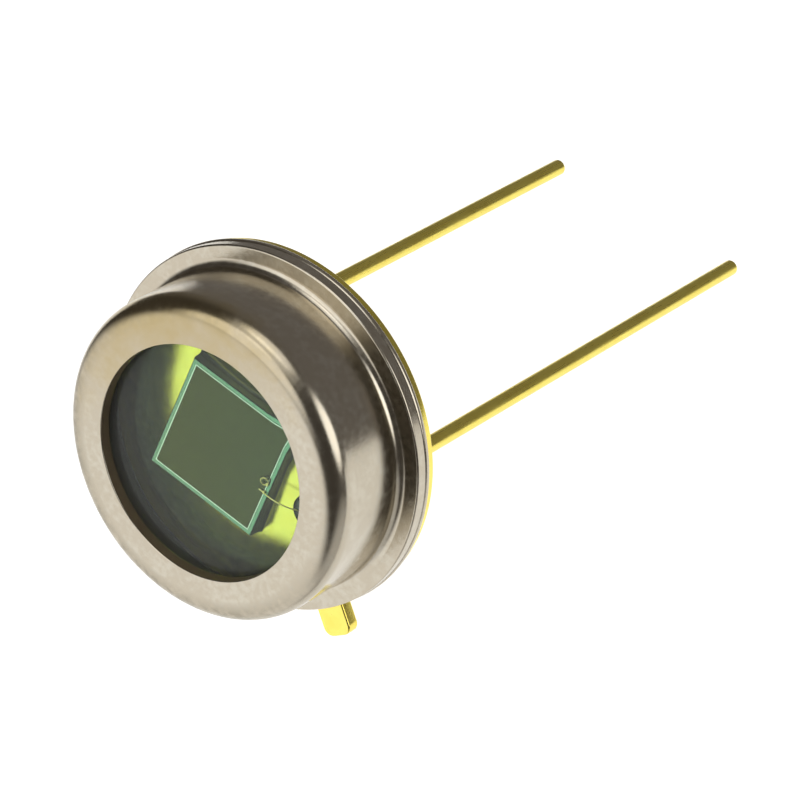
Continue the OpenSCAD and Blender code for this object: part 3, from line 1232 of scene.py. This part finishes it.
@dataclass
class Studio:
    """Pale floor, soft studio light and the camera."""

    floor_z: float = -80.0
    floor_near: float = 6.0
    floor_turn: float = -70.0
    floor_size: float = 600.0
    floor_glow: float = 0.5
    ambient: float = 0.07
    ambient_tint: str = "#FFF4EA"
    camera_at: Triple = (-27.057, -58.737, 66.683)
    camera_right: Triple = (-0.71148, -0.38761, -0.58613)
    camera_up: Triple = (0.64777, -0.68507, -0.33328)
    lens: float = 174.92

    def build_camera(self) -> None:
        """Places the camera at the photograph's viewing angle."""
        data = bpy.data.cameras.new("camera")
        data.lens = self.lens
        data.sensor_width = 36.0
        data.clip_start = 0.002
        data.clip_end = 10.0
        camera = bpy.data.objects.new("camera", data)
        right, up = Vector(self.camera_right), Vector(self.camera_up)
        turn = Matrix((right, up, right.cross(up))).transposed().to_4x4()
        camera.matrix_world = Matrix.Translation(Vector(self.camera_at) * MM) @ turn
        bpy.context.scene.collection.objects.link(camera)
        bpy.context.scene.camera = camera

    def build_floor(self) -> None:
        """Lays the sheet of white paper well below the leads."""
        mesh = bmesh.new()
        wide, far = self.floor_size / 2, self.floor_near - self.floor_size
        spin = Matrix.Rotation(math.radians(self.floor_turn), 2)
        corners = [(far, -wide), (self.floor_near, -wide), (self.floor_near, wide), (far, wide)]
        mesh.faces.new([mesh.verts.new((*(spin @ Vector(p)), self.floor_z)) for p in corners])
        material = bpy.data.materials.new("floor_paper")
        material.use_nodes = True
        tree = material.node_tree
        tree.nodes.clear()
        path = add_node(tree, "ShaderNodeLightPath").outputs
        seen = add_node(tree, "ShaderNodeMath", {0: path["Is Camera Ray"], 1: path["Is Glossy Ray"]},
                        operation="MAXIMUM")
        seen = add_node(tree, "ShaderNodeMath", {0: seen.outputs[0], 1: path["Is Transmission Ray"]},
                        operation="MAXIMUM")
        glow = add_node(tree, "ShaderNodeMath", {0: seen.outputs[0], 1: self.floor_glow},
                        operation="MULTIPLY")
        shader = add_node(tree, "ShaderNodeBsdfPrincipled", {
            "Base Color": linear("#F4F4F2"), "Roughness": 0.9, "Emission Color": (1.0, 1.0, 1.0, 1.0),
            "Emission Strength": glow.outputs[0]})
        add_node(tree, "ShaderNodeOutputMaterial", {"Surface": shader.outputs[0]})
        floor = make_piece(mesh, "floor_sheet", [material], outward=False)

    def build_light(self) -> None:
        """Lights the part from a world of soft patches, which is plain white to the camera itself."""
        world = bpy.data.worlds.new("studio")
        bpy.context.scene.world = world
        world.use_nodes = True
        tree = world.node_tree
        tree.nodes.clear()
        way = add_node(tree, "ShaderNodeTexCoord").outputs["Generated"]
        total = Vector(linear(self.ambient_tint)[:3]) * self.ambient
        for light in LIGHTS:
            near = add_node(tree, "ShaderNodeVectorMath", {0: way, 1: light.direction()},
                            operation="DOT_PRODUCT")
            patch = add_node(tree, "ShaderNodeMapRange", {
                0: near.outputs["Value"], 1: math.cos(math.radians(light.spread)),
                2: math.cos(math.radians(light.core)), 3: 0.0, 4: 1.0}, interpolation_type="SMOOTHSTEP")
            shine = Vector(linear(light.tint)[:3]) * light.strength
            total = add_node(tree, "ShaderNodeVectorMath", {0: patch.outputs[0], 1: shine, 2: total},
                             operation="MULTIPLY_ADD", label=light.name).outputs[0]
        lit = add_node(tree, "ShaderNodeBackground", {"Color": total, "Strength": 1.0})
        white = add_node(tree, "ShaderNodeBackground", {"Color": (1.0, 1.0, 1.0, 1.0), "Strength": 1.0})
        path = add_node(tree, "ShaderNodeLightPath")
        pick = add_node(tree, "ShaderNodeMixShader",
                        {0: path.outputs["Is Camera Ray"], 1: lit.outputs[0], 2: white.outputs[0]})
        add_node(tree, "ShaderNodeOutputWorld", {"Surface": pick.outputs[0]})

    def build(self) -> None:
        """Sets up the camera, the floor, the light and the plain colour view."""
        self.build_camera()
        self.build_floor()
        self.build_light()
        bpy.context.scene.view_settings.view_transform = "Standard"


def main() -> None:
    """Builds the studio and each sub-assembly in order."""
    logging.basicConfig(level=logging.INFO, format="%(name)s: %(message)s")
    Studio().build()
    for assembly in (Header(), Leads(), Chip(), BondWire(), Window(), Cap()):
        assembly.dress()


if __name__ == "__main__":
    main()
